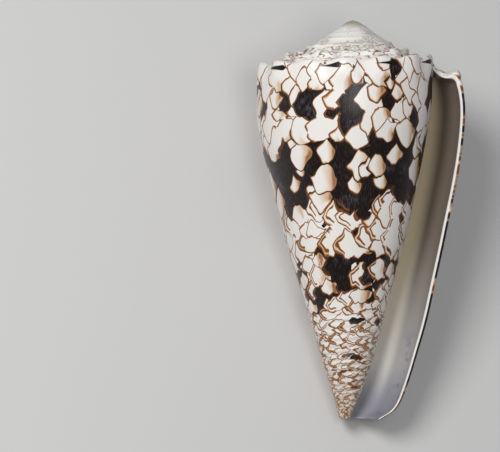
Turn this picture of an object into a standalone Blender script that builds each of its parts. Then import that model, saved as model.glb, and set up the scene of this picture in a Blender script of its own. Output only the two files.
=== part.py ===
"""A crowned cone shell, lying on its back with the opening up. It is one solid, worked out around its coiling axis.

Angles follow growth, in degrees: the lip is at 360, the body whorl leaves the opening at 0, and earlier whorls are below 0.
Depth is measured along the axis, from the tip of the spire towards the narrow end.
"""

import math

import bmesh
import bpy
from mathutils import Matrix, Vector

MM = 0.001

# Driving dimensions
LENGTH = 75.0 * MM
GROWTH_PER_TURN = 1.43
FIRST_ANGLE = -1080
LIP_ANGLE = 360
TUBERCLES_PER_TURN = 14
COLUMNS_PER_TUBERCLE = 5
SIDE_STEPS = 19

# The side of the body whorl: its radius at shares of the way from shoulder to narrow end
SIDE_SHARES = (0, 0.04, 0.10, 0.20, 0.30, 0.40, 0.50, 0.60, 0.70, 0.80, 0.90, 0.96, 1)
RADII_AT_0 = [r * MM for r in (15.0, 15.2, 15.1, 14.3, 13.2, 12.0, 10.5, 8.8, 7.2, 5.6, 3.5, 2.0, 0.9)]
RADII_AT_180 = [r * MM for r in (17.4, 17.8, 17.8, 16.9, 15.1, 13.4, 11.6, 9.4, 7.3, 5.2, 3.1, 1.7, 0.9)]
RADII_AT_360 = [r * MM for r in (20.3, 21.1, 21.5, 21.1, 20.2, 19.0, 17.8, 16.5, 15.2, 13.5, 11.6, 10.0, 6.8)]

# The crest of the shoulder: its depth at each radius that it grows through
CREST_RADII = [r * MM for r in (0, 2.9, 5.2, 7.9, 9.8, 11.6, 14.35, 16.65, 19.4)]
CREST_DEPTHS = [d * MM for d in (0, 1.65, 3.15, 4.6, 5.4, 5.95, 6.5, 7.7, 9.7)]
UNDERCUT_RATIO = 1.045
CHANNEL_SHARES = (0.20, 0.48, 0.76)
CHANNEL_SAG = 1.15 * MM
STEP_BELOW_CREST = 1.25 * MM
FIRST_STEP_RADIUS = 4.0 * MM
LAST_STEP_RADIUS = 14.35 * MM

TUBERCLE_OUT = 0.55 * MM
TUBERCLE_UP = 0.50 * MM
TUBERCLE_REACH = 2.4 * MM
TUBERCLE_PHASE = 94.6

# The hollow: from the lip back around the coil, open at the narrow end as far as OPEN_ANGLE
OPEN_ANGLE = 232
HOLLOW_STEP = 16
DEEPEST_ANGLE = -360
WALL_ANGLES = (-360, -60, 90, 210, 300, 360)
WALL_THICKNESSES = [t * MM for t in (0.5, 0.5, 0.9, 1.8, 3.3, 0.95)]
END_THINNING = 0.35
LEAST_GAP = 0.35 * MM
ROOF_THICKNESS = 1.1 * MM
ROOF_ROW = 2
FLOOR_RISE = 0.36
FLOOR_RISE_REACH = 150
CORE_RATIO_TOP = 0.70
CORE_RATIO_END = 0.52

# How it lies: its axis is rolled and pitched until it rests on its back, which is worn flat there
REST_ROLL = -24.0
REST_PITCH = 14.35
REST_FLAT = 0.30 * MM

COLUMNS_PER_TURN = TUBERCLES_PER_TURN * COLUMNS_PER_TUBERCLE
COLUMN_STEP = 360 / COLUMNS_PER_TURN
LAST_COLUMN = round((LIP_ANGLE - FIRST_ANGLE) / COLUMN_STEP)
BODY_COLUMN = LAST_COLUMN - COLUMNS_PER_TURN
ROW_CROWDING = 0.10


def ease(x):
    """0 below 0, 1 above 1, and a smooth rise between."""
    x = min(max(x, 0.0), 1.0)
    return x * x * (3 - 2 * x)


def mix(a, b, share):
    return a + (b - a) * share


def slope_at(xs, ys, i):
    """The slope of a smooth curve at point i, which never overshoots its points."""
    if i == 0:
        return (ys[1] - ys[0]) / (xs[1] - xs[0])
    before = (ys[i] - ys[i - 1]) / (xs[i] - xs[i - 1])
    if i == len(xs) - 1:
        return before
    after = (ys[i + 1] - ys[i]) / (xs[i + 1] - xs[i])
    if before * after <= 0:
        return 0.0
    return 2 * before * after / (before + after)


def through(xs, ys, x):
    """The height at x of a smooth curve through the points."""
    x = min(max(x, xs[0]), xs[-1])
    i = 0
    while i < len(xs) - 2 and x > xs[i + 1]:
        i += 1
    span = xs[i + 1] - xs[i]
    t = (x - xs[i]) / span
    start, end = slope_at(xs, ys, i) * span, slope_at(xs, ys, i + 1) * span
    bend_start = ys[i] * (1 + 2 * t) * (1 - t) ** 2 + start * t * (1 - t) ** 2
    bend_end = ys[i + 1] * t * t * (3 - 2 * t) - end * t * t * (1 - t)
    return bend_start + bend_end


def side_radius(angle, share):
    """The outer radius of the body whorl, and inside the opening that of the whorl before it."""
    stations = [through(SIDE_SHARES, radii, share) for radii in (RADII_AT_0, RADII_AT_180, RADII_AT_360)]
    if angle >= 0:
        return through((0, 180, 360), stations, angle)
    ratio = mix(CORE_RATIO_TOP, CORE_RATIO_END, share)
    return stations[0] * ratio ** (-angle / 360)


def crest_radius(angle):
    at_start = side_radius(max(angle, 0), 0) / UNDERCUT_RATIO
    return at_start * GROWTH_PER_TURN ** (min(angle, 0) / 360)


def crest_depth(radius):
    return through(CREST_RADII, CREST_DEPTHS, radius)


def crown_share(radius):
    """How far the steps and tubercles are developed at a crest of this radius."""
    return ease((radius - FIRST_STEP_RADIUS) / (LAST_STEP_RADIUS - FIRST_STEP_RADIUS))


def tubercle(angle):
    """The share of a tubercle's height at this angle."""
    wave = 0.5 + 0.5 * math.cos(math.radians((angle - TUBERCLE_PHASE) * TUBERCLES_PER_TURN))
    return wave * crown_share(crest_radius(angle))


def place(angle, radius, depth):
    turn = math.radians(angle)
    return Vector((radius * math.cos(turn), -depth, radius * math.sin(turn)))


def crest(angle):
    radius = crest_radius(angle)
    bump = tubercle(angle)
    return place(angle, radius + TUBERCLE_OUT * bump, crest_depth(radius) - TUBERCLE_UP * bump)


def suture_depth(angle):
    """The depth of the edge under the crest, which the next whorl's ramp grows from."""
    radius = crest_radius(angle)
    return crest_depth(radius) + STEP_BELOW_CREST * crown_share(radius)


def side_depth(angle, share):
    return mix(suture_depth(angle), LENGTH, share)


def side(angle, share):
    """A point of the outer side: share 0 is the edge under the crest and share 1 the narrow end."""
    depth = side_depth(angle, share)
    below = (depth - suture_depth(angle)) / TUBERCLE_REACH
    bump = TUBERCLE_OUT * tubercle(angle) * math.exp(-below * below)
    radius = side_radius(angle, share) if angle >= 0 else crest_radius(angle) * UNDERCUT_RATIO
    return place(angle, radius + bump, depth)


def ramp_place(angle, share, drop=0.0):
    """A point of the ramp between the whorl before's edge and the crest, or drop below it."""
    inner = crest_radius(angle - 360) * UNDERCUT_RATIO
    outer = crest_radius(angle)
    sag = CHANNEL_SAG * crown_share(outer) * math.sin(math.pi * share)
    depth = mix(suture_depth(angle - 360), crest_depth(outer), share) + sag + drop
    return place(angle, mix(inner, outer, share), depth)


def hollow_bottom(angle):
    """The share of the side at which the hollow ends: it closes as it winds deeper."""
    return 1 - FLOOR_RISE * ease((OPEN_ANGLE - angle) / FLOOR_RISE_REACH)


def core_radius(angle, share):
    """The near wall of the hollow: the whorl before, which the body whorl winds round."""
    return side_radius(angle - 360, share)


def wall_radius(angle, share):
    """The far wall of the hollow: the inside of the outer wall, which thins towards the lip."""
    thickness = through(WALL_ANGLES, WALL_THICKNESSES, angle) * (1 - END_THINNING * share**5)
    return max(side_radius(angle, share) - thickness, core_radius(angle, share) + LEAST_GAP)


def zip_chains(bm, one, other):
    """Fills between two chains of points with unlike counts, always by the shorter of the two diagonals."""
    i = j = 0
    while i < len(one) - 1 or j < len(other) - 1:
        forward_one = i < len(one) - 1
        if forward_one and j < len(other) - 1:
            forward_one = (one[i + 1].co - other[j].co).length < (one[i].co - other[j + 1].co).length
        corners = [one[i], other[j], one[i + 1]] if forward_one else [one[i], other[j], other[j + 1]]
        if forward_one:
            i += 1
        else:
            j += 1
        if len(set(corners)) == 3:
            bm.faces.new(corners)


def bridge_chains(bm, one, other):
    """Joins two chains of equal counts with quads."""
    for k in range(len(one) - 1):
        bm.faces.new((one[k], one[k + 1], other[k + 1], other[k]))


def side_share(row):
    """Rows crowd towards the shoulder and towards the narrow end, where the side bends most."""
    step = row / SIDE_STEPS
    return step - ROW_CROWDING * math.sin(2 * math.pi * step)


def column_angle(column):
    return FIRST_ANGLE + column * COLUMN_STEP


def add_outside(bm):
    """The spire and the body whorl. Returns the chains at the start of the body whorl and at the lip, and the end row."""
    apex = bm.verts.new(place(0, 0, 0))
    crests = [bm.verts.new(crest(column_angle(c))) for c in range(LAST_COLUMN + 1)]
    edges = [bm.verts.new(side(column_angle(c), 0)) for c in range(LAST_COLUMN + 1)]
    ramps = []
    for column in range(LAST_COLUMN + 1):
        angle = column_angle(column)
        if column < COLUMNS_PER_TURN:
            radii = [share * crest_radius(angle) for share in CHANNEL_SHARES]
            points = [place(angle, radius, crest_depth(radius)) for radius in radii]
        else:
            points = [ramp_place(angle, share) for share in CHANNEL_SHARES]
        inner = apex if column < COLUMNS_PER_TURN else edges[column - COLUMNS_PER_TURN]
        ramps.append([inner, *(bm.verts.new(p) for p in points), crests[column], edges[column]])

    for column in range(LAST_COLUMN):
        here, there = ramps[column], ramps[column + 1]
        if column == COLUMNS_PER_TURN - 1:
            zip_chains(bm, here, ramps[0] + there[1:])
        elif column < COLUMNS_PER_TURN:
            bm.faces.new((apex, here[1], there[1]))
            bridge_chains(bm, here[1:], there[1:])
        else:
            bridge_chains(bm, here, there)

    sides = {}
    for column in range(BODY_COLUMN, LAST_COLUMN + 1):
        angle = column_angle(column)
        rows = [bm.verts.new(side(angle, side_share(row))) for row in range(1, SIDE_STEPS + 1)]
        sides[column] = [edges[column], *rows]
    for column in range(BODY_COLUMN, LAST_COLUMN):
        bridge_chains(bm, sides[column], sides[column + 1])
    lip = ramps[LAST_COLUMN] + sides[LAST_COLUMN][1:]
    end_row = [sides[column][-1] for column in range(BODY_COLUMN, LAST_COLUMN + 1)]
    return sides[BODY_COLUMN], lip, end_row


def hollow_chain(bm, angle, core_points=None):
    """One section of the hollow, from the end of its near wall up, over its roof and down its far wall."""
    first = side_share(ROOF_ROW)
    bottom = hollow_bottom(angle)
    shares = [mix(first, bottom, (side_share(row) - first) / (1 - first)) for row in range(ROOF_ROW, SIDE_STEPS + 1)]
    if core_points is None:
        near = [place(angle, core_radius(angle, s), side_depth(angle, s)) for s in shares]
        core_points = [bm.verts.new(p) for p in near]
    roof = [bm.verts.new(ramp_place(angle, share, ROOF_THICKNESS)) for share in CHANNEL_SHARES]
    far = [bm.verts.new(place(angle, wall_radius(angle, s), side_depth(angle, s))) for s in shares]
    return core_points[::-1] + roof + far


def add_hollow(bm, body_chain, lip_chain):
    """The hollow that winds in from the opening. Returns the end row's points along its far and near walls."""
    rows = SIDE_STEPS + 1 - ROOF_ROW
    mouth = hollow_chain(bm, LIP_ANGLE, body_chain[ROOF_ROW:])
    zip_chains(bm, lip_chain, body_chain[:ROOF_ROW] + mouth[rows - 1 :])
    far_end, near_end = [mouth[-1]], [mouth[0]]
    before = mouth
    for angle in range(LIP_ANGLE - HOLLOW_STEP, DEEPEST_ANGLE, -HOLLOW_STEP):
        chain = hollow_chain(bm, angle)
        bridge_chains(bm, before, chain)
        if angle >= OPEN_ANGLE:
            far_end.append(chain[-1])
            near_end.append(chain[0])
        else:
            bm.faces.new((before[0], before[-1], chain[-1], chain[0]))
        before = chain
    bm.faces.new(before[rows - 1 : -rows + 1])
    bridge_chains(bm, before[:rows], before[: -rows - 1 : -1])
    return far_end, near_end


def build_shell():
    bm = bmesh.new()
    body_chain, lip_chain, end_row = add_outside(bm)
    far_end, near_end = add_hollow(bm, body_chain, lip_chain)
    bm.faces.new(end_row + far_end + near_end[:0:-1])
    bmesh.ops.triangulate(bm, faces=bm.faces[:])
    bmesh.ops.recalc_face_normals(bm, faces=bm.faces[:])
    lay_down(bm)
    mesh = bpy.data.meshes.new("cone_shell")
    bm.to_mesh(mesh)
    bm.free()
    mesh.shade_smooth()
    mesh.set_sharp_from_angle(angle=math.radians(50))
    return mesh


def lay_down(bm):
    """Rolls and pitches the shell onto its worn back, over the middle of its box, with the floor at height 0."""
    roll = Matrix.Rotation(math.radians(REST_ROLL), 3, "Y")
    pitch = Matrix.Rotation(math.radians(REST_PITCH), 3, "X")
    bmesh.ops.rotate(bm, matrix=pitch @ roll, verts=bm.verts[:])
    worn = min(v.co.z for v in bm.verts) + REST_FLAT
    for vert in bm.verts:
        vert.co.z = max(vert.co.z, worn)
    low = [min(v.co[i] for v in bm.verts) for i in range(3)]
    high = [max(v.co[i] for v in bm.verts) for i in range(3)]
    middle = Vector(((low[0] + high[0]) / 2, (low[1] + high[1]) / 2, low[2]))
    bmesh.ops.translate(bm, vec=-middle, verts=bm.verts[:])


def porcelain():
    material = bpy.data.materials.new("porcelain")
    material.use_nodes = True
    shader = material.node_tree.nodes["Principled BSDF"]
    shader.inputs["Base Color"].default_value = (0.62, 0.50, 0.42, 1)
    shader.inputs["Roughness"].default_value = 0.3
    shader.inputs["Metallic"].default_value = 0.0
    return material


def main():
    for old in list(bpy.context.scene.objects):
        bpy.data.objects.remove(old, do_unlink=True)
    parts = bpy.data.collections.new("cone shell")
    bpy.context.scene.collection.children.link(parts)
    shell = bpy.data.objects.new("cone_shell", build_shell())
    shell.data.materials.append(porcelain())
    parts.objects.link(shell)


main()
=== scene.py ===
"""The looks of a crowned cone shell that lies on its back: porcelain netted with brown, over a chalky spire.

Inside the trees, sizes are in millimetres and angles follow growth in degrees: the lip is at 360, the body
whorl leaves the opening at 0, and earlier whorls are below 0. Depth runs along the axis from the spire's tip.
"""

import math

import bmesh
import bpy
from mathutils import Matrix, Vector


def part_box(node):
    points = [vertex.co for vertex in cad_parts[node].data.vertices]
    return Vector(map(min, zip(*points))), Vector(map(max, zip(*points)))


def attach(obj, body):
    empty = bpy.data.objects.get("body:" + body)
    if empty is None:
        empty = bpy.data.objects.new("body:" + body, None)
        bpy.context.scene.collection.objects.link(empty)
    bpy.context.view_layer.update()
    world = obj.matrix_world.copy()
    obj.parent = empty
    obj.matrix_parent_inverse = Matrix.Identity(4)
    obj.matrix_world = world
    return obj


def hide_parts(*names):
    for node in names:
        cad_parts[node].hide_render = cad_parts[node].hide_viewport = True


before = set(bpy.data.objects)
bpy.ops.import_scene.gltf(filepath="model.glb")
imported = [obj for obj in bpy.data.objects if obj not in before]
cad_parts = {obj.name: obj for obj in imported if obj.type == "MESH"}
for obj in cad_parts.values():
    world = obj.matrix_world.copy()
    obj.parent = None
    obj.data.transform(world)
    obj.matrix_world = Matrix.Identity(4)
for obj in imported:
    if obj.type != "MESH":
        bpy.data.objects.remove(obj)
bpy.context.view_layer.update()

MM = 0.001

# Driving dimensions, as the solid has them
LENGTH = 75.0
GROWTH_PER_TURN = 1.43
TUBERCLES_PER_TURN = 14
REST_ROLL = -24.0
REST_PITCH = 14.35
REST_FLAT = 0.30
SIDE_SHARES = (0, 0.04, 0.10, 0.20, 0.30, 0.40, 0.50, 0.60, 0.70, 0.80, 0.90, 0.96, 1)
RADII_AT_0 = (15.0, 15.2, 15.1, 14.3, 13.2, 12.0, 10.5, 8.8, 7.2, 5.6, 3.5, 2.0, 0.9)
RADII_AT_180 = (17.4, 17.8, 17.8, 16.9, 15.1, 13.4, 11.6, 9.4, 7.3, 5.2, 3.1, 1.7, 0.9)
RADII_AT_360 = (20.3, 21.1, 21.5, 21.1, 20.2, 19.0, 17.8, 16.5, 15.2, 13.5, 11.6, 10.0, 6.8)
UNDERCUT_RATIO = 1.045
STEP_BELOW_CREST = 1.25
FIRST_STEP_RADIUS = 4.0
LAST_STEP_RADIUS = 14.35
TUBERCLE_OUT = 0.55
TUBERCLE_REACH = 2.4
TUBERCLE_PHASE = 94.6

# The crown, a little closer to the photograph than the solid's
CREST_RADII = (0, 1.3, 2.9, 5.2, 7.9, 9.8, 11.6, 14.35, 16.65, 19.4)
CREST_DEPTHS = (0, 0.45, 1.65, 3.15, 4.65, 5.55, 6.25, 7.0, 8.6, 10.0)
CROWN_LEAN = 0.03
CHANNEL_SAG = 0.95
TUBERCLE_UP = 0.60
LEAST_TUBERCLE = 0.75
TUBERCLE_SPREAD = 0.5
SWELL_REACH_IN = 0.22
SWELL_REACH_OUT = 0.3

# The hollow, of which only the turn behind the lip can be seen
WALL_ANGLES = (0, 90, 210, 300, 360)
WALL_THICKNESSES = (0.6, 0.9, 1.8, 3.3, 0.95)
END_THINNING = 0.35
LEAST_GAP = 0.35
ROOF_THICKNESS = 1.1
ROOF_CORNER_IN = 1.2
ROOF_SAG_SHARE = 0.6
LIP_BULGE_SHARE = 0.45
LARGEST_LIP_BULGE = 0.5
OPEN_ANGLE = 232
FLOOR_RISE = 0.36
FLOOR_RISE_REACH = 150
CORE_RATIO_TOP = 0.70
CORE_RATIO_END = 0.52

# How finely the surface is made
FIRST_ANGLE = -1440
LIP_ANGLE = 360
COLUMNS_PER_TURN = 280
HOLLOW_COLUMNS = 70
RIM_COLUMNS = 8
RAMP_ROWS = 10
CREST_ROWS = 5
SIDE_ROWS = 90
ROOF_ROW = 4
ROW_CROWDING = 0.10
FLOOR_ROWS = 3
CAP_ROW_SIZE = 0.4
CREST_ROW_SIZE = 0.35
WELD = 0.004

# On the spire the zone of a point is its radius over this, less 1. It is 0 on the side, 1 and 2 inside.
RADIUS_NOTE = 50.0
LINING_FROM = 0.5

# The bands of dark scales, in millimetres below the shoulder's edge: where each lies, and how far it reaches
SHOULDER_BAND = (5.8, 5.6)
SHOULDER_DARK = 0.44
BETWEEN_TUBERCLES_DARK = 0.26
FIRST_BAND_DARK = 0.86
SECOND_BAND_DARK = 0.50
FIRST_BAND_AT = 17.0
BAND_SLOPE = 8.5
BETWEEN_BANDS = 20.5
FIRST_BAND_REACH = 9.8
SECOND_BAND_REACH = 8.0
BAND_SWAY = 8
CLOUDINESS = 2.1
DARK_FROM = 0.5

# The net of scales, counted in scales along the turn and in rows down the side
CELLS_PER_TURN = 54.0
CELLS_LOST = 0.76
FRONT_TURN = 0.27
SIDE_LENGTH = 66.0
PLACES_FROM = 5.0
ROW_PLACES = (0, 5, 20, 35, 47, 55, 61, 66, 71)
ROW_COUNTS = (0, 1.06, 4.3, 7.8, 11.0, 14.3, 18.2, 22.6, 28.0)
WOBBLE_ALONG = 0.9
WOBBLE_DOWN = 0.6
COLUMN_ORDER = (-1, 0, 1, 2)
ROW_ORDER = (1, 0)
BARE = (-1.0, -1.0, 0.0, 0.0, 0.0)

# One scale of the net: chances are shares of 1, and sizes are shares of a cell
DROP_SHARE = 0.40
SPECK_SHARE = 0.10
HEART_SHARE = 0.5
SCATTER_ALONG = 0.8
SCATTER_DOWN = 0.62
LEAST_SCALE = 0.62
SCALE_SPREAD = 0.74
SPECK_SHRINK = 0.42
FLATTENING = 1.8
LONGER_RIGHT = 0.55
POINTED_ABOVE = 1.9
ROUNDER_BELOW = 1.3
LINE_WIDTH = 0.115
LINE_SPREAD = 0.10
SECOND_LINE_AT = 0.62
SECOND_LINE_FROM = 0.55
SECOND_LINE_BELOW_ROW = 4.0
FLOCK_SLANT = 0.35
FLOCK_WIDTH = 1.45
FLOCK_HEIGHT = 6.0
MOST_JOINED = 0.78
PALE_BELOW = 0.44
NO_CHANGE = 0.0001

# The group of a scale: 0 to 1 in a flock, 2 to 4 on its own, 5 to 7 for a white drop in a dark band
LONE_GROUP = 2
DROP_GROUP = 3
LAST_LONE_GROUP = 4.0

# Each scale waits for the one before through this much of it, or the material outgrows the renderer
TOO_SMALL_TO_SEE = 0.000001

# The outside's colours
WHITE = (0.83, 0.81, 0.78)
WARM_WHITE = (0.80, 0.75, 0.68)
TAN = (0.58, 0.325, 0.13)
CHESTNUT = (0.20, 0.062, 0.012)
DEEP_CHESTNUT = (0.045, 0.011, 0.003)
BLACK_BROWN = (0.0065, 0.0025, 0.002)
DARK_STREAK = (0.034, 0.019, 0.015)
BLUE_GREY = (0.075, 0.072, 0.095)
STAIN = (0.36, 0.20, 0.08)
CHALK = (0.83, 0.81, 0.76)
CHALK_SHADE = (0.52, 0.50, 0.44)
TIP_TAN = (0.31, 0.235, 0.16)
TIP_TAN_TO = 3.4
GLOSSY, CHALKY = 0.30, 0.62
BUMP_HEIGHT = 0.00018

# The lining's colours: painted shade on the white porcelain, darkest brown-grey under the roof, lighter by
# the lip and lower down; painted light with a cream tint deeper in; darker painted shade with a blue-grey
# tint at the base
RIM_WHITE = (0.83, 0.82, 0.79)
PAINTED_SHADE_TOP = (0.125, 0.100, 0.081)
PAINTED_SHADE_BY_LIP = (0.20, 0.160, 0.130)
PAINTED_SHADE_LOW_GREY = (0.40, 0.385, 0.38)
LIT_DEEP_CREAM = (0.90, 0.80, 0.60)
DEEP_PALE = (0.76, 0.73, 0.69)
BASE_TINT_AND_SHADE = (0.22, 0.22, 0.26)
LINING_BLUE = (0.14, 0.155, 0.23)

# The camera: the photograph's place for the tip of the spire, and the shell's size in it
PHOTO_WIDTH, PHOTO_HEIGHT = 500, 452
MM_PER_PIXEL = 0.1883
TIP_PIXEL = (353.0, 20.3)
SHELL_MIDDLE_PIXEL = (353.0, 222.0)
AXIS_LEAN = 1.15
LENS = 600.0
SENSOR = 36.0
CLIP_START = 0.01

# The stage, in metres: lights lie towards the camera, to the right and up from the shell's middle
SHELL_MIDDLE = (0, 0, 0.018)
KEY_PLACE = (0.54, -0.17, 0.22)
KEY_SIZE = 0.24
KEY_WATTS = 2.45
FILL_PLACE = (0.56, 0.12, 0.02)
FILL_SIZE = 0.22
FILL_WATTS = 0.70
SKY_COLOUR = (0.9, 0.93, 1.0)
SKY_STRENGTH = 0.24
FLOOR_REACH = 3.0
FLOOR_COLOUR = (0.62, 0.615, 0.60)


class Num:
    """A number or a vector that nodes work out. Sums and products of it add the nodes that they need."""

    def __init__(self, tree, socket):
        self.tree = tree
        self.socket = socket

    def math(self, operation, *others):
        return calc(self.tree, operation, self, *others)

    def __add__(self, other):
        return self.math("ADD", other)

    def __sub__(self, other):
        return self.math("SUBTRACT", other)

    def __mul__(self, other):
        return self.math("MULTIPLY", other)

    def __truediv__(self, other):
        return self.math("DIVIDE", other)

    def __radd__(self, other):
        return calc(self.tree, "ADD", other, self)

    def __rsub__(self, other):
        return calc(self.tree, "SUBTRACT", other, self)

    def __rmul__(self, other):
        return calc(self.tree, "MULTIPLY", other, self)

    def __neg__(self):
        return self.math("MULTIPLY", -1.0)

    def __gt__(self, other):
        return self.math("GREATER_THAN", other)

    def __lt__(self, other):
        return self.math("LESS_THAN", other)


def feed(tree, socket, value):
    """Links a socket to a worked-out number, or sets it to a plain one."""
    if isinstance(value, Num):
        tree.links.new(value.socket, socket)
    else:
        socket.default_value = value


def calc(tree, operation, *values):
    node = tree.nodes.new("ShaderNodeMath")
    node.operation = operation
    for socket, value in zip(node.inputs, values):
        feed(tree, socket, value)
    return Num(tree, node.outputs[0])


def constant(tree, value):
    node = tree.nodes.new("ShaderNodeValue")
    node.outputs[0].default_value = value
    return Num(tree, node.outputs[0])


def vector(tree, x, y, z):
    node = tree.nodes.new("ShaderNodeCombineXYZ")
    for socket, value in zip(node.inputs, (x, y, z)):
        feed(tree, socket, value)
    return Num(tree, node.outputs[0])


def components(value):
    node = value.tree.nodes.new("ShaderNodeSeparateXYZ")
    feed(value.tree, node.inputs[0], value)
    return [Num(value.tree, output) for output in node.outputs]


def grouped(inputs, outputs):
    """Makes a formula a node group with named sockets. It is built once, and placed wherever it is used."""

    def wrap(formula):
        made = {}

        def build(kind):
            tree = bpy.data.node_groups.new(formula.__name__.replace("_", " "), kind)
            for name in inputs:
                tree.interface.new_socket(name=name, in_out="INPUT", socket_type="NodeSocketFloat")
            for name in outputs:
                tree.interface.new_socket(name=name, in_out="OUTPUT", socket_type="NodeSocketFloat")
            start = tree.nodes.new("NodeGroupInput")
            results = formula(*(Num(tree, start.outputs[name]) for name in inputs))
            end = tree.nodes.new("NodeGroupOutput")
            for socket, result in zip(end.inputs, results if len(outputs) > 1 else (results,)):
                feed(tree, socket, result)
            return tree

        def placed(*values):
            tree = next(value.tree for value in values if isinstance(value, Num))
            if tree.bl_idname not in made:
                made[tree.bl_idname] = build(tree.bl_idname)
            node = tree.nodes.new(tree.bl_idname.replace("NodeTree", "NodeGroup"))
            node.node_tree = made[tree.bl_idname]
            for socket, value in zip(node.inputs, values):
                feed(tree, socket, value)
            results = [Num(tree, socket) for socket in node.outputs if socket.name in outputs]
            return results if len(outputs) > 1 else results[0]

        placed.__doc__ = formula.__doc__
        return placed

    return wrap


def clamp(x, low=0.0, high=1.0):
    return x.math("MAXIMUM", low).math("MINIMUM", high)


def ease(x):
    """0 below 0, 1 above 1, and a smooth rise between."""
    x = clamp(x)
    return x * x * (3 - 2 * x)


def mix(a, b, share):
    return a + (b - a) * share


def choose(condition, yes, no):
    return mix(no, yes, condition)


def bell(x):
    return (-(x * x)).math("EXPONENT")


def sine(degrees):
    return degrees.math("RADIANS").math("SINE")


def cosine(degrees):
    return degrees.math("RADIANS").math("COSINE")


def curve_through(x, xs, ys):
    """A smooth curve through the points, which never overshoots them."""
    node = x.tree.nodes.new("ShaderNodeFloatCurve")
    curve = node.mapping.curves[0]
    top = max(ys)
    span = xs[-1] - xs[0]
    while len(curve.points) < len(xs):
        curve.points.new(0.5, 0.5)
    for point, px, py in zip(curve.points, xs, ys):
        point.location = ((px - xs[0]) / span, py / top)
        point.handle_type = "AUTO_CLAMPED"
    node.mapping.update()
    feed(x.tree, node.inputs["Value"], (x - xs[0]) / span)
    return Num(x.tree, node.outputs[0]) * top


def hermite(start, end, slope_start, slope_end, t):
    t2 = t * t
    t3 = t2 * t
    bend = 3 * t2 - 2 * t3
    return start + (end - start) * bend + slope_start * (t3 - 2 * t2 + t) + slope_end * (t3 - t2)


@grouped(("At 0", "At 180", "At 360", "Angle"), ("Value",))
def grown(at_0, at_180, at_360, angle):
    """A smooth curve over the angle through three values."""
    first = at_180 - at_0
    second = at_360 - at_180
    both = first * second
    middle = 2 * both / (first + second) * (both > 0.0)
    t = clamp(angle / 180, 0, 2)
    early = hermite(at_0, at_180, first, middle, t)
    late = hermite(at_180, at_360, middle, second, t - 1)
    return choose(t > 1.0, late, early)


def side_radii(share):
    """The radius at this share of the side, where growth is at 0, 180 and 360."""
    return [curve_through(share, SIDE_SHARES, radii) for radii in (RADII_AT_0, RADII_AT_180, RADII_AT_360)]


@grouped(("Angle", "Share"), ("Radius",))
def side_radius(angle, share):
    """The outer radius of the body whorl, and inside the opening that of the whorl before it."""
    body = grown(*side_radii(share), clamp(angle, 0, 360))
    ratio = mix(CORE_RATIO_TOP, CORE_RATIO_END, share)
    core = ratio.math("POWER", angle.math("MINIMUM", 0.0) / -360)
    return body * core


@grouped(("Angle",), ("Radius",))
def crest_radius(angle):
    """The radius of the shoulder's crest, in all the whorls from the tip to the lip."""
    top = constant(angle.tree, 0.0)
    body = grown(*side_radii(top), clamp(angle, 0, 360)) / UNDERCUT_RATIO
    return body * calc(angle.tree, "POWER", GROWTH_PER_TURN, angle.math("MINIMUM", 0.0) / 360)


@grouped(("Radius",), ("Depth",))
def crest_depth(radius):
    return curve_through(radius, CREST_RADII, CREST_DEPTHS)


@grouped(("Radius",), ("Share",))
def crown_share(radius):
    """How far the steps and tubercles are developed at a crest of this radius."""
    return ease((radius - FIRST_STEP_RADIUS) / (LAST_STEP_RADIUS - FIRST_STEP_RADIUS))


@grouped(("Angle",), ("Share",))
def tubercle(angle):
    """The share of a tubercle's height at this angle. Each one has a height of its own."""
    place_in_row = (angle - TUBERCLE_PHASE) * (TUBERCLES_PER_TURN / 360)
    wave = 0.5 + 0.5 * cosine(place_in_row * 360)
    node = angle.tree.nodes.new("ShaderNodeTexWhiteNoise")
    node.noise_dimensions = "1D"
    feed(angle.tree, node.inputs["W"], place_in_row.math("ROUND"))
    own_height = LEAST_TUBERCLE + TUBERCLE_SPREAD * Num(angle.tree, node.outputs["Value"])
    return wave * crown_share(crest_radius(angle)) * own_height


@grouped(("Angle",), ("Depth",))
def suture_depth(angle):
    """The depth of the edge under the crest, which the next whorl's ramp grows from."""
    radius = crest_radius(angle)
    return crest_depth(radius) + STEP_BELOW_CREST * crown_share(radius)


@grouped(("Row",), ("Share",))
def side_share(row):
    """Rows crowd towards the shoulder and towards the narrow end, where the side bends most."""
    step = clamp(row / SIDE_ROWS)
    return step - ROW_CROWDING * sine(step * 360)


@grouped(("Angle", "Share"), ("Radius", "Depth"))
def side_point(angle, share):
    """A point of the outer side: share 0 is the edge under the crest, 1 the narrow end."""
    edge = suture_depth(angle)
    depth = mix(edge, LENGTH, share)
    bump = TUBERCLE_OUT * tubercle(angle) * bell((depth - edge) / TUBERCLE_REACH)
    return side_radius(angle, share) + bump, depth


@grouped(("Angle", "Row"), ("Radius", "Depth"))
def top_point(angle, row):
    """A point of a whorl's ramp, from the suture to the crest and over its rounded edge."""
    along = clamp(row / RAMP_ROWS)
    over = clamp((row - RAMP_ROWS) / CREST_ROWS) * 90
    before = angle - 360
    inner, outer = crest_radius(before) * UNDERCUT_RATIO, crest_radius(angle)
    bump = tubercle(angle)
    swell_in = tubercle(before) * bell(along / SWELL_REACH_IN)
    swell_out = bump * bell((1 - along) / SWELL_REACH_OUT)
    rim_depth = crest_depth(outer)
    radius = mix(inner, outer, along) + TUBERCLE_OUT * (swell_in + swell_out)
    sag = CHANNEL_SAG * crown_share(outer) * sine(along * 180)
    depth = mix(suture_depth(before), rim_depth, along) + sag - TUBERCLE_UP * swell_out
    radius = radius + outer * (UNDERCUT_RATIO - 1) * sine(over)
    depth = depth + (suture_depth(angle) - rim_depth + TUBERCLE_UP * bump) * (1 - cosine(over))
    return radius, depth


@grouped(("Angle", "Row"), ("Radius", "Depth"))
def cap_point(angle, row):
    """As top_point, for the first turn, which starts at the tip itself."""
    along = clamp(row / RAMP_ROWS)
    over = clamp((row - RAMP_ROWS) / CREST_ROWS) * 90
    outer = crest_radius(angle)
    return outer * along + outer * (UNDERCUT_RATIO - 1) * sine(over), crest_depth(outer * along)


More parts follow.
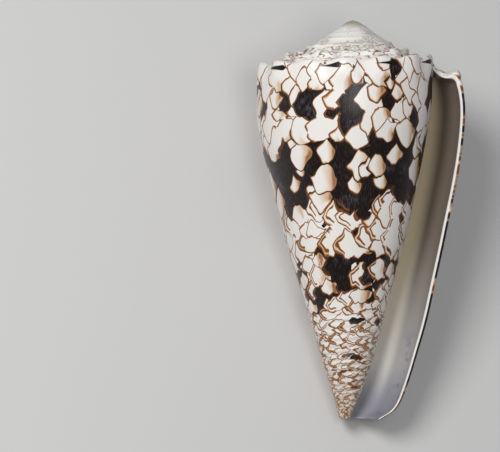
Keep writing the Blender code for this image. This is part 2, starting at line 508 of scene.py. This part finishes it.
@grouped(("Angle", "Row"), ("Radius", "Depth"))
def outer_point(angle, row):
    """A point of the outside by its row, from the suture over the crest to the narrow end."""
    top_radius, top_depth = top_point(angle, row)
    side_r, side_d = side_point(angle, side_share(row - (RAMP_ROWS + CREST_ROWS)))
    below = row > RAMP_ROWS + CREST_ROWS
    return choose(below, side_r, top_radius), choose(below, side_d, top_depth)


@grouped(("Angle", "Row"), ("Share",))
def hollow_share(angle, row):
    """The share of the side at a row of the hollow, which closes as it winds deeper."""
    bottom = 1 - FLOOR_RISE * ease((OPEN_ANGLE - angle) / FLOOR_RISE_REACH)
    first = side_share(constant(angle.tree, float(ROOF_ROW)))
    return mix(first, bottom, (side_share(row) - first) / (1 - first))


@grouped(("Angle", "Row"), ("Radius", "Depth"))
def near_point(angle, row):
    """The hollow's near wall: the whorl before, which the body whorl winds round."""
    return side_point(angle - 360, hollow_share(angle, row))


@grouped(("Angle", "Row"), ("Radius", "Depth"))
def far_point(angle, row):
    """The hollow's far wall, the inside of the outer wall, which thins towards the lip."""
    share = hollow_share(angle, row)
    thinning = 1 - END_THINNING * share.math("POWER", 5.0)
    thickness = curve_through(angle, WALL_ANGLES, WALL_THICKNESSES) * thinning
    core = side_radius(angle - 360, share)
    radius = (side_radius(angle, share) - thickness).math("MAXIMUM", core + LEAST_GAP)
    return radius, mix(suture_depth(angle), LENGTH, share)


@grouped(("Angle", "Row"), ("Radius", "Depth"))
def inner_point(angle, row):
    """A point of the hollow by the row that it lies opposite: over the roof and down the far wall."""
    along = clamp(row / RAMP_ROWS)
    over = clamp((row - RAMP_ROWS) / CREST_ROWS) * 90
    start_r, start_d = near_point(angle, constant(angle.tree, float(ROOF_ROW)))
    wall_row = (row - (RAMP_ROWS + CREST_ROWS)).math("MAXIMUM", 0.0)
    wall_row = ROOF_ROW + wall_row * ((SIDE_ROWS - ROOF_ROW) / SIDE_ROWS)
    wall_r, wall_d = far_point(angle, wall_row)
    corner_r, corner_d = far_point(angle, constant(angle.tree, float(ROOF_ROW)))
    roof_r = mix(start_r, corner_r - ROOF_CORNER_IN, along)
    roof_end = crest_depth(crest_radius(angle)) + ROOF_THICKNESS
    roof_d = mix(start_d, roof_end, along) + CHANNEL_SAG * ROOF_SAG_SHARE * sine(along * 180)
    roof_r = roof_r + (corner_r - roof_r) * sine(over)
    roof_d = roof_d + (corner_d - roof_d) * (1 - cosine(over))
    below = row > RAMP_ROWS + CREST_ROWS
    return choose(below, wall_r, roof_r), choose(below, wall_d, roof_d)


def place(angle, radius, depth):
    """A point in space. The crown leans: it stands higher on the lip's side, and the narrow end does not."""
    x = radius * cosine(angle)
    return vector(angle.tree, x, CROWN_LEAN * x * (1 - depth / LENGTH) - depth, radius * sine(angle))


class Patch:
    """A sheet of faces with columns and rows, which is shaped by the formulas that are given for it."""

    def __init__(self, tree, columns, rows):
        self.tree = tree
        grid = tree.nodes.new("GeometryNodeMeshGrid")
        grid.inputs["Vertices X"].default_value = columns + 1
        grid.inputs["Vertices Y"].default_value = rows + 1
        grid.inputs["Size X"].default_value = 1.0
        grid.inputs["Size Y"].default_value = 1.0
        self.mesh = grid.outputs["Mesh"]
        x, y, _ = components(Num(tree, tree.nodes.new("GeometryNodeInputPosition").outputs[0]))
        self.column = (x + 0.5) * columns
        self.row = (y + 0.5) * rows

    def shape(self, coil, position):
        """Notes where each corner lies on the coil, then moves the points into place."""
        note = self.tree.nodes.new("GeometryNodeStoreNamedAttribute")
        note.data_type = "FLOAT_VECTOR"
        note.domain = "CORNER"
        note.inputs["Name"].default_value = "coil"
        self.tree.links.new(self.mesh, note.inputs["Geometry"])
        feed(self.tree, note.inputs["Value"], coil)
        move = self.tree.nodes.new("GeometryNodeSetPosition")
        self.tree.links.new(note.outputs["Geometry"], move.inputs["Geometry"])
        feed(self.tree, move.inputs["Position"], position)
        return move.outputs["Geometry"]


def shell_patches(tree):
    """The sheets that make up the shell, each with its place on the coil: turns, how far down, zone."""
    patches = []
    top_rows = RAMP_ROWS + CREST_ROWS
    step = 360 / COLUMNS_PER_TURN

    cap = Patch(tree, COLUMNS_PER_TURN, top_rows)
    angle = FIRST_ANGLE + cap.column * step
    radius, depth = cap_point(angle, cap.row)
    coil = vector(tree, angle / 360, (cap.row - top_rows) * CAP_ROW_SIZE, radius / RADIUS_NOTE - 1)
    patches.append(cap.shape(coil, place(angle, radius, depth)))

    turns = (LIP_ANGLE - FIRST_ANGLE) // 360 - 1
    spire = Patch(tree, turns * COLUMNS_PER_TURN, top_rows)
    angle = FIRST_ANGLE + 360 + spire.column * step
    radius, depth = top_point(angle, spire.row)
    width = crest_radius(angle) - crest_radius(angle - 360) * UNDERCUT_RATIO
    ramp_left = (RAMP_ROWS - spire.row).math("MAXIMUM", 0.0) / RAMP_ROWS * width
    crest_left = (top_rows - spire.row).math("MINIMUM", float(CREST_ROWS)) * CREST_ROW_SIZE
    coil = vector(tree, angle / 360, -(ramp_left + crest_left), radius / RADIUS_NOTE - 1)
    patches.append(spire.shape(coil, place(angle, radius, depth)))

    side = Patch(tree, COLUMNS_PER_TURN, SIDE_ROWS)
    angle = side.column * step
    radius, depth = side_point(angle, side_share(side.row))
    coil = vector(tree, angle / 360, depth - suture_depth(angle), 0.0)
    patches.append(side.shape(coil, place(angle, radius, depth)))

    step = 360 / HOLLOW_COLUMNS
    lining = Patch(tree, RIM_COLUMNS + HOLLOW_COLUMNS, top_rows + SIDE_ROWS)
    across = clamp(lining.column / RIM_COLUMNS)
    angle = LIP_ANGLE - (lining.column - RIM_COLUMNS).math("MAXIMUM", 0.0) * step
    out_r, out_d = outer_point(constant(tree, float(LIP_ANGLE)), lining.row)
    in_r, in_d = inner_point(angle, lining.row)
    share = (1 - cosine(across * 180)) / 2
    radius, depth = mix(out_r, in_r, share), mix(out_d, in_d, share)
    bulge = ((out_r - in_r).math("ABSOLUTE") * LIP_BULGE_SHARE).math("MINIMUM", LARGEST_LIP_BULGE)
    swing = (bulge * sine(across * 180) / radius).math("DEGREES")
    coil = vector(tree, angle / 360, depth - suture_depth(angle), across)
    patches.append(lining.shape(coil, place(angle + swing, radius, depth)))

    near = Patch(tree, HOLLOW_COLUMNS, SIDE_ROWS - ROOF_ROW)
    angle = LIP_ANGLE - near.column * step
    radius, depth = near_point(angle, near.row + ROOF_ROW)
    coil = vector(tree, angle / 360 - 1, depth - suture_depth(angle - 360), 2.0)
    patches.append(near.shape(coil, place(angle, radius, depth)))

    closed_columns = round(OPEN_ANGLE / step)
    floor = Patch(tree, closed_columns, FLOOR_ROWS)
    angle = floor.column * step
    last = constant(tree, float(SIDE_ROWS))
    far_r, far_d = far_point(angle, last)
    near_r, near_d = near_point(angle, last)
    share = floor.row / FLOOR_ROWS
    coil = vector(tree, angle / 360, far_d - suture_depth(angle), 1.0)
    patches.append(floor.shape(coil, place(angle, mix(far_r, near_r, share), mix(far_d, near_d, share))))
    return patches


def shell_tree():
    """Joins the sheets, welds their seams and paints the outside and the lining."""
    tree = bpy.data.node_groups.new("coiled shell", "GeometryNodeTree")
    tree.interface.new_socket(name="Geometry", in_out="OUTPUT", socket_type="NodeSocketGeometry")
    inputs = (("Weld distance", "Float"), ("Outside", "Material"), ("Lining", "Material"))
    for name, kind in inputs:
        tree.interface.new_socket(name=name, in_out="INPUT", socket_type="NodeSocket" + kind)
    tree.interface.items_tree["Weld distance"].default_value = WELD
    start = tree.nodes.new("NodeGroupInput")
    join = tree.nodes.new("GeometryNodeJoinGeometry")
    for patch in shell_patches(tree):
        tree.links.new(patch, join.inputs[0])
    weld = tree.nodes.new("GeometryNodeMergeByDistance")
    tree.links.new(join.outputs[0], weld.inputs["Geometry"])
    tree.links.new(start.outputs["Weld distance"], weld.inputs["Distance"])
    realize = tree.nodes.new("GeometryNodeRealizeInstances")
    tree.links.new(weld.outputs[0], realize.inputs["Geometry"])

    coil = tree.nodes.new("GeometryNodeInputNamedAttribute")
    coil.data_type = "FLOAT_VECTOR"
    coil.inputs["Name"].default_value = "coil"
    zone = components(Num(tree, coil.outputs["Attribute"]))[2]
    mesh = realize.outputs[0]
    for name, selection in (("Outside", zone < LINING_FROM), ("Lining", zone > LINING_FROM - NO_CHANGE)):
        paint = tree.nodes.new("GeometryNodeSetMaterial")
        tree.links.new(mesh, paint.inputs["Geometry"])
        feed(tree, paint.inputs["Selection"], selection)
        tree.links.new(start.outputs[name], paint.inputs["Material"])
        mesh = paint.outputs[0]
    end = tree.nodes.new("NodeGroupOutput")
    tree.links.new(mesh, end.inputs[0])
    return tree


def close_gaps(mesh):
    """Fills the narrow end's face and the slivers where sheets with unlike columns meet."""
    bm = bmesh.new()
    bm.from_mesh(mesh)
    rims = [edge for edge in bm.edges if edge.is_boundary]
    filled = bmesh.ops.holes_fill(bm, edges=rims, sides=0)["faces"]
    for face in filled:
        face.material_index = 1
    bmesh.ops.triangulate(bm, faces=filled)
    bmesh.ops.recalc_face_normals(bm, faces=bm.faces[:])
    bm.to_mesh(mesh)
    bm.free()


def add_object(name, data):
    added = bpy.data.objects.new(name, data)
    bpy.context.scene.collection.objects.link(added)
    return added


def make_shell(outside, lining):
    tree = shell_tree()
    maker = add_object("shell maker", bpy.data.meshes.new("blank"))
    modifier = maker.modifiers.new("coil", "NODES")
    modifier.node_group = tree
    values = {"Outside": outside, "Lining": lining}
    for item in tree.interface.items_tree:
        if item.in_out == "INPUT" and item.name in values:
            modifier[item.identifier] = values[item.name]
    mesh = bpy.data.meshes.new_from_object(maker.evaluated_get(bpy.context.evaluated_depsgraph_get()))
    maker.modifiers.remove(modifier)
    bpy.data.objects.remove(maker, do_unlink=True)
    close_gaps(mesh)
    lay_down(mesh)
    mesh.name = "netted_shell"
    mesh.shade_smooth()
    shell = add_object("netted_shell", mesh)
    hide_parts("cone_shell")
    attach(shell, "root")
    return shell


def turned():
    """How the shell's own axes lie when it rests on its back."""
    roll = Matrix.Rotation(math.radians(REST_ROLL), 4, "Y")
    pitch = Matrix.Rotation(math.radians(REST_PITCH), 4, "X")
    return pitch @ roll


def lay_down(mesh):
    """Rolls and pitches the shell onto its back, in the place of the solid."""
    mesh.transform(turned() @ Matrix.Scale(MM, 4))
    worn = min(v.co.z for v in mesh.vertices) + REST_FLAT * MM
    for vertex in mesh.vertices:
        vertex.co.z = max(vertex.co.z, worn)
    low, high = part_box("cone_shell")
    own_low = [min(v.co[i] for v in mesh.vertices) for i in range(3)]
    own_high = [max(v.co[i] for v in mesh.vertices) for i in range(3)]
    shift = [(low[i] + high[i] - own_low[i] - own_high[i]) / 2 for i in range(2)] + [low[2] - own_low[2]]
    mesh.transform(Matrix.Translation(shift))


def noise(value, scale, detail=2.0):
    """A soft random value between 0 and 1 that changes over the surface."""
    node = value.tree.nodes.new("ShaderNodeTexNoise")
    feed(value.tree, node.inputs["Vector"], value)
    node.inputs["Scale"].default_value = scale
    node.inputs["Detail"].default_value = detail
    return Num(value.tree, node.outputs["Fac"])


def dice(x, y, throw):
    """Three random numbers for each pair of whole numbers."""
    node = x.tree.nodes.new("ShaderNodeTexWhiteNoise")
    feed(x.tree, node.inputs["Vector"], vector(x.tree, x, y, throw))
    return components(Num(x.tree, node.outputs["Color"]))


def flock(x, y, width, height):
    """Two random numbers that are the same over patches of about this size."""
    node = x.tree.nodes.new("ShaderNodeTexVoronoi")
    node.voronoi_dimensions = "2D"
    feed(x.tree, node.inputs["Vector"], vector(x.tree, x / width, y / height, 0.0))
    node.inputs["Scale"].default_value = 1.0
    return components(Num(x.tree, node.outputs["Color"]))[:2]


def band(down, middle, reach):
    """1 in the middle of a band round the shell, falling to 0 at its edges."""
    across = (down - middle) / reach
    return 1 - across * across


@grouped(("Turns", "Millimetres down"), ("Dark",))
def darkness(turns, down):
    """How dark the shell is about this place: over DARK_FROM the scales of the net are dark."""
    cloud = noise(vector(turns.tree, turns * 19, down * 0.12, 3.0), 1.0, 3.0) - 0.5
    sway = noise(vector(turns.tree, turns * 5, 0.0, 8.0), 1.0, 1.0) - 0.5
    between = cosine(turns * (360 * TUBERCLES_PER_TURN) + 200)
    shoulder = SHOULDER_DARK * band(down, *SHOULDER_BAND) + BETWEEN_TUBERCLES_DARK * between
    centre = FIRST_BAND_AT + BAND_SLOPE * turns
    swayed = down + sway * BAND_SWAY
    first = FIRST_BAND_DARK * band(swayed, centre, FIRST_BAND_REACH)
    second = SECOND_BAND_DARK * band(swayed, centre + BETWEEN_BANDS, SECOND_BAND_REACH)
    top = shoulder.math("MAXIMUM", first).math("MAXIMUM", second)
    return top + cloud * CLOUDINESS


@grouped(("Millimetres down",), ("Count",))
def cells_in_turn(down):
    """How many scales lie side by side in a turn: fewer towards the narrow end."""
    return CELLS_PER_TURN * (1 - CELLS_LOST * clamp(down / SIDE_LENGTH))


@grouped(("Millimetres down",), ("Row",))
def scale_row(down):
    """How many rows of scales lie above: they are lower towards the narrow end."""
    return curve_through(down + PLACES_FROM, ROW_PLACES, ROW_COUNTS)


@grouped(
    ("Along", "Down", "Column", "Row", "Group", "Tone", "Line", "Heart", "Right"),
    ("Group", "Tone", "Line", "Heart", "Right"),
)
def lay_scale(along, down, column, row, group, tone, line, heart, right):
    """Lays one scale of the net over those to its left. Scales of one group have no line between them."""
    i = along.math("FLOOR") + column
    shift = i.math("FLOORED_MODULO", 2.0) * 0.5
    j = (down - shift - 0.5).math("FLOOR") + row
    throw_1 = dice(i, j, 0.5)
    throw_2 = dice(i, j, 7.5)
    own_along = i + 0.5 + (throw_1[0] - 0.5) * SCATTER_ALONG
    own_down = j + 0.5 + shift + (throw_1[1] - 0.5) * SCATTER_DOWN

    mm_down = curve_through(own_down, ROW_COUNTS, ROW_PLACES) - PLACES_FROM
    turns = FRONT_TURN - own_along / cells_in_turn(mm_down)
    dark_here = darkness(turns, mm_down)
    is_dark = dark_here > DARK_FROM
    drop = (throw_2[0] < DROP_SHARE) * is_dark
    speck = throw_2[0] > 1 - SPECK_SHARE
    own_tone = (is_dark * (1 - drop)).math("MAXIMUM", speck)
    size = LEAST_SCALE + SCALE_SPREAD * throw_1[2] - SPECK_SHRINK * speck

    x = along - own_along
    y = (down - own_down) * FLATTENING
    below = y > 0.0
    to_right = x > 0.0
    reach = x.math("ABSOLUTE") * (1 - LONGER_RIGHT * to_right * (1 - drop))
    y_size = y.math("ABSOLUTE")
    corner = POINTED_ABOVE - ROUNDER_BELOW * below
    away = (reach * reach + y_size * y_size + corner * reach * y_size).math("SQRT") / size
    over_drop = own_tone * (group > LAST_LONE_GROUP)
    cover = (away < 1.0) * (1 - over_drop)

    flock_id, flock_joins = flock(own_along + FLOCK_SLANT * own_down, own_down, FLOCK_WIDTH, FLOCK_HEIGHT)
    join_share = MOST_JOINED - MOST_JOINED * ease((mm_down - 16) / 28)
    joins = (flock_joins < join_share) * (1 - own_tone) * (dark_here < PALE_BELOW)
    own_group = choose(joins, flock_id, LONE_GROUP + throw_2[1] + throw_2[2]) + DROP_GROUP * drop
    changes = (own_group - group).math("ABSOLUTE") > NO_CHANGE
    both_dark = own_tone * tone.math("ABSOLUTE")
    thicker = 1 + mm_down * 0.007 + 0.55 * ease((mm_down - 44) / 16)
    edge_width = (LINE_WIDTH + LINE_SPREAD * throw_2[2]) * thicker
    slope = 1 + to_right * (1 - drop)
    has_second = (throw_1[2] > SECOND_LINE_FROM) * (1 - to_right) * (own_down > SECOND_LINE_BELOW_ROW)
    second = bell((SECOND_LINE_AT - away) * size * 2 / edge_width) * has_second * (1 - drop)
    first = bell((1 - away) * size * slope / edge_width)
    own_line = first.math("MAXIMUM", second) * changes * (1 - both_dark)
    own_heart = ease((0.75 - away) * 2) * (throw_2[1] > HEART_SHARE) * throw_2[2]
    own_right = ease((x / size + 0.35) / 1.1)
    before = (group, tone, line, heart, right)
    own = (own_group, own_tone, own_line, own_heart, own_right)
    return tuple(choose(cover, new, old) for old, new in zip(before, own))


def coil_place(tree):
    """Where a point lies on the coil: turns of growth, millimetres below the edge, and the zone."""
    node = tree.nodes.new("ShaderNodeAttribute")
    node.attribute_name = "coil"
    return components(Num(tree, node.outputs["Vector"]))


def object_place(tree):
    node = tree.nodes.new("ShaderNodeTexCoord")
    return Num(tree, node.outputs["Object"])


def blend(tree, below, above, share):
    """A colour between two."""
    node = tree.nodes.new("ShaderNodeMix")
    node.data_type = "RGBA"
    for socket, value in ((node.inputs[0], share), (node.inputs[6], below), (node.inputs[7], above)):
        if isinstance(value, tuple):
            value = (*value, 1.0)
        feed(tree, socket, value)
    return Num(tree, node.outputs[2])


def laid_scales(turns, down, wobble_along, wobble_down):
    """The net at this place, where each scale covers those before it: tone, line, heart and right."""
    tree = turns.tree
    along = (FRONT_TURN - turns) * cells_in_turn(down) + wobble_along * WOBBLE_ALONG
    lattice_down = scale_row(down) + wobble_down * WOBBLE_DOWN
    state = [constant(tree, value) for value in BARE]
    for column in COLUMN_ORDER:
        for row in ROW_ORDER:
            in_turn = along + state[2] * TOO_SMALL_TO_SEE
            state = lay_scale(in_turn, lattice_down, float(column), float(row), *state)
    return state[1:]


def run_out_on_rim(turns, down, tone, line):
    """On the lip's rim the dark scales run out in short bars, with a line at each end."""
    run = noise(vector(turns.tree, 0.0, down * 0.14 + 2.0, 50.0), 1.0, 2.0) + 0.06 * ease((down - 20) / 10)
    by_rim = ease((turns - 0.995) * 300)
    tone = mix(tone, ease((run - 0.485) * 30) * (down > 1.6), by_rim)
    line = mix(line, bell((run - 0.475) / 0.03), by_rim)
    return tone, line


def spire_marks(turns, down):
    """Where the outer whorl of the spire has scribbled chestnut marks."""
    outer_whorl = ease((turns + 1.15) * 6)
    scribble = noise(vector(turns.tree, turns * 34, down * 1.1, 5.0), 1.0, 1.5)
    patches = noise(vector(turns.tree, turns * 9, down * 0.4, 1.0), 1.0)
    return bell((scribble - 0.52) / 0.035) * ease((patches - 0.40) * 8) * outer_whorl


def shoulder_wedge(turns, down, wobble):
    """Where the dark wedges lie along the shoulder's edge: each starts blunt and tapers with growth."""
    along = (turns * 9.0 + 0.62).math("FRACT")
    size = clamp(1 - along / 0.6) * ease(along * 9) * 0.72 + wobble * 0.3
    return ease((size - 0.12 - (down + 0.30).math("ABSOLUTE")) / 0.14)


def net_colour(place_3d, tone, line, fade, heart, dark_near, streak):
    """White scales that fade to tan beside the dark ones, which are streaked, and the lines between them."""
    tree = tone.tree
    colour = blend(tree, WHITE, WARM_WHITE, noise(place_3d, 90.0))
    colour = blend(tree, colour, TAN, ease(fade * 1.1) * 0.8)
    colour = blend(tree, colour, CHESTNUT, ease(fade * 4.0 - 3.0) * 0.8)
    dark = blend(tree, BLACK_BROWN, DARK_STREAK, ease((streak - 0.5) * 5))
    dark = blend(tree, dark, BLUE_GREY, heart * ease((streak - 0.42) * 5))
    colour = blend(tree, colour, dark, tone)
    colour = blend(tree, colour, TAN, ease(line * 2.4 - 0.25) * (1 - tone * 0.8))
    line_colour = blend(tree, CHESTNUT, DEEP_CHESTNUT, dark_near)
    return blend(tree, colour, line_colour, ease(line * 2.2 - 0.75))


def stained(colour, down, streak, growth):
    """The colour with brown stains, which grow towards the narrow end."""
    base_share = ease((down - 46) / 18)
    stain = ease((streak * 0.5 + growth * 0.5 - 0.47) * 7 + base_share * 0.6) * base_share
    return blend(colour.tree, colour, STAIN, stain * 0.45)


def chalk_colour(zone, grain, blotch, marks):
    """The worn spire: grainy chalk that is tan at the tip, with its marks."""
    tree = zone.tree
    chalk = blend(tree, CHALK, CHALK_SHADE, ease((grain + blotch - 0.97) * 4.0))
    radius = (zone + 1) * RADIUS_NOTE
    chalk = blend(tree, chalk, TIP_TAN, ease((TIP_TAN_TO - radius) / 2.4) * 0.75)
    return blend(tree, chalk, CHESTNUT, marks)


def new_material(name):
    """A material with its node tree and its surface shader."""
    material = bpy.data.materials.new(name)
    material.use_nodes = True
    tree = material.node_tree
    return material, tree, tree.nodes["Principled BSDF"]


def netted_porcelain():
    """The outside: a net of overlapping scales in chestnut lines, bands of dark ones, a chalky spire."""
    material, tree, shader = new_material("netted porcelain")
    turns, down, zone = coil_place(tree)
    place_3d = object_place(tree)
    wobble_along = noise(vector(tree, turns * 42, down * 0.25, 0.0), 1.0, 0.6) - 0.5
    wobble_down = noise(vector(tree, turns * 42, down * 0.25, 9.0), 1.0, 0.6) - 0.5
    tone, line, heart, right = laid_scales(turns, down, wobble_along, wobble_down)

    # Where no scale was laid, a place is as dark as its surroundings
    dark_point = darkness(turns, down)
    tone = choose(tone < -0.5, dark_point > 0.3, tone)
    tone, line = run_out_on_rim(turns, down, tone, line)
    dark_near = ease((dark_point - 0.36) / 0.3)
    fade = right * dark_near * (1 - tone)
    on_spire = ease((-down - 0.9) / 1.0).math("MAXIMUM", ease(turns * -12))
    marks = spire_marks(turns, down) * on_spire
    kept = 1 - on_spire
    tone, line, fade = tone * kept, line * kept, fade * kept

    streak = noise(vector(tree, turns * 330, down * 0.9, 2.0), 1.0, 2.0)
    growth = noise(vector(tree, turns * 420, down * 0.06, 6.0), 1.0, 3.0)
    grain = noise(vector(tree, turns * 90, down * 2.2, 4.0), 1.0, 3.0)
    blotch = noise(place_3d, 260.0, 3.0)
    colour = net_colour(place_3d, tone, line, fade, heart, dark_near, streak)
    colour = stained(colour, down, streak, growth)
    colour = blend(tree, colour, BLACK_BROWN, shoulder_wedge(turns, down, wobble_along))
    colour = blend(tree, colour, chalk_colour(zone, grain, blotch, marks), on_spire)
    feed(tree, shader.inputs["Base Color"], colour)
    feed(tree, shader.inputs["Roughness"], mix(GLOSSY, CHALKY, on_spire))
    shader.inputs["Specular IOR Level"].default_value = 0.35

    ridges = sine(down * 300) * ease((down - 42) / 14)
    height = growth * 0.5 + ridges * 1.6 + (grain * 2.2 + blotch) * on_spire
    bump = tree.nodes.new("ShaderNodeBump")
    bump.inputs["Strength"].default_value = 0.35
    bump.inputs["Distance"].default_value = BUMP_HEIGHT
    feed(tree, bump.inputs["Height"], height)
    tree.links.new(bump.outputs["Normal"], shader.inputs["Normal"])
    return material


def porcelain_lining():
    """The inside: brown-grey by the lip and paler towards the narrow end, cream deeper in, a white rim."""
    material, tree, shader = new_material("porcelain lining")
    turns, down, zone = coil_place(tree)
    cloudy = noise(object_place(tree), 320.0, 2.0)
    inside = ease((zone - 0.86) / 0.14)
    lower = ease((down - 24) / 34)
    # Painted shade: dark brown-grey deep under the roof, lighter towards the lip, paler grey lower down
    shade_by_lip = blend(tree, PAINTED_SHADE_TOP, PAINTED_SHADE_BY_LIP, ease((turns - 0.945) * 25))
    shade_by_lip = blend(tree, shade_by_lip, PAINTED_SHADE_LOW_GREY, lower)
    # Painted light with a cream tint on the deeper far wall, paler porcelain lower down
    deeper = blend(tree, LIT_DEEP_CREAM, DEEP_PALE, lower)
    colour = blend(tree, shade_by_lip, deeper, ease((0.950 - turns) * 26))
    bluish = ease((cloudy - 0.5) * 6) * clamp(band(down, 58.0, 12.0)) * clamp(band(turns, 0.98, 0.035))
    # Towards the narrow end: a blue-grey tint with darker painted shade
    colour = blend(tree, colour, BASE_TINT_AND_SHADE, ease((down - 52) / 10) * 0.85)
    colour = blend(tree, colour, LINING_BLUE, bluish * 0.8)
    colour = blend(tree, RIM_WHITE, colour, inside)
    feed(tree, shader.inputs["Base Color"], colour)
    shader.inputs["Roughness"].default_value = 0.16
    return material


def plain_material(name, colour, roughness):
    material, _, shader = new_material(name)
    shader.inputs["Base Color"].default_value = (*colour, 1)
    shader.inputs["Roughness"].default_value = roughness
    return material


def set_camera(shell):
    """Looks straight at the opening side. The shell stays at the photograph's place, right of the middle."""
    turn = turned().to_3x3()
    towards = turn @ Vector((0, 0, 1))
    lean = Matrix.Rotation(math.radians(AXIS_LEAN), 3, towards)
    up = lean @ (turn @ Vector((0, 1, 0)))
    right = up.cross(towards)
    up_most = turn @ Vector((0, 1, 0))
    tip = max((v.co for v in shell.data.vertices), key=lambda co: co @ up_most).copy()
    scale = MM_PER_PIXEL * MM

    def at_pixel(x, y):
        return tip + right * ((x - TIP_PIXEL[0]) * scale) - up * ((y - TIP_PIXEL[1]) * scale)

    distance = LENS / SENSOR * PHOTO_WIDTH * scale
    eye = at_pixel(*SHELL_MIDDLE_PIXEL) + towards * distance
    aim = at_pixel(PHOTO_WIDTH / 2, PHOTO_HEIGHT / 2)
    back = (eye - aim).normalized()
    side = up.cross(back).normalized()
    data = bpy.data.cameras.new("camera")
    data.lens = LENS
    data.sensor_width = SENSOR
    data.clip_start = CLIP_START
    camera = add_object("camera", data)
    turn_camera = Matrix((side, back.cross(side), back)).transposed()
    camera.matrix_world = Matrix.Translation(eye) @ turn_camera.to_4x4()
    bpy.context.scene.camera = camera
    return right, up, towards


def add_light(name, axes, offset, size, watts):
    """A round soft light aimed at the shell's middle, from which it lies this far along each of the axes."""
    data = bpy.data.lights.new(name, "AREA")
    data.shape = "DISK"
    data.size = size
    data.energy = watts
    middle = Vector(SHELL_MIDDLE)
    light = add_object(name, data)
    light.location = middle + axes[0] * offset[0] + axes[1] * offset[1] + axes[2] * offset[2]
    light.rotation_euler = (light.location - middle).to_track_quat("Z", "Y").to_euler()


def set_stage(right, up, towards):
    """A plain pale floor, a large soft light from the upper left, and a weaker one from the right."""
    corners = [(x * FLOOR_REACH, y * FLOOR_REACH, 0) for x, y in ((-1, -1), (1, -1), (1, 1), (-1, 1))]
    floor = bpy.data.meshes.new("floor")
    floor.from_pydata(corners, [], [(0, 1, 2, 3)])
    floor.materials.append(plain_material("pale floor", FLOOR_COLOUR, 0.7))
    ground = add_object("floor", floor)
    axes = (towards, right, up)
    add_light("key", axes, KEY_PLACE, KEY_SIZE, KEY_WATTS)
    add_light("fill", axes, FILL_PLACE, FILL_SIZE, FILL_WATTS)
    world = bpy.data.worlds.new("studio")
    world.use_nodes = True
    sky = world.node_tree.nodes["Background"]
    sky.inputs["Color"].default_value = (*SKY_COLOUR, 1)
    sky.inputs["Strength"].default_value = SKY_STRENGTH
    bpy.context.scene.world = world
    bpy.context.scene.view_settings.view_transform = "Standard"


def main():
    outside = netted_porcelain()
    lining = porcelain_lining()
    shell = make_shell(outside, lining)
    right, up, towards = set_camera(shell)
    set_stage(right, up, towards)


main()
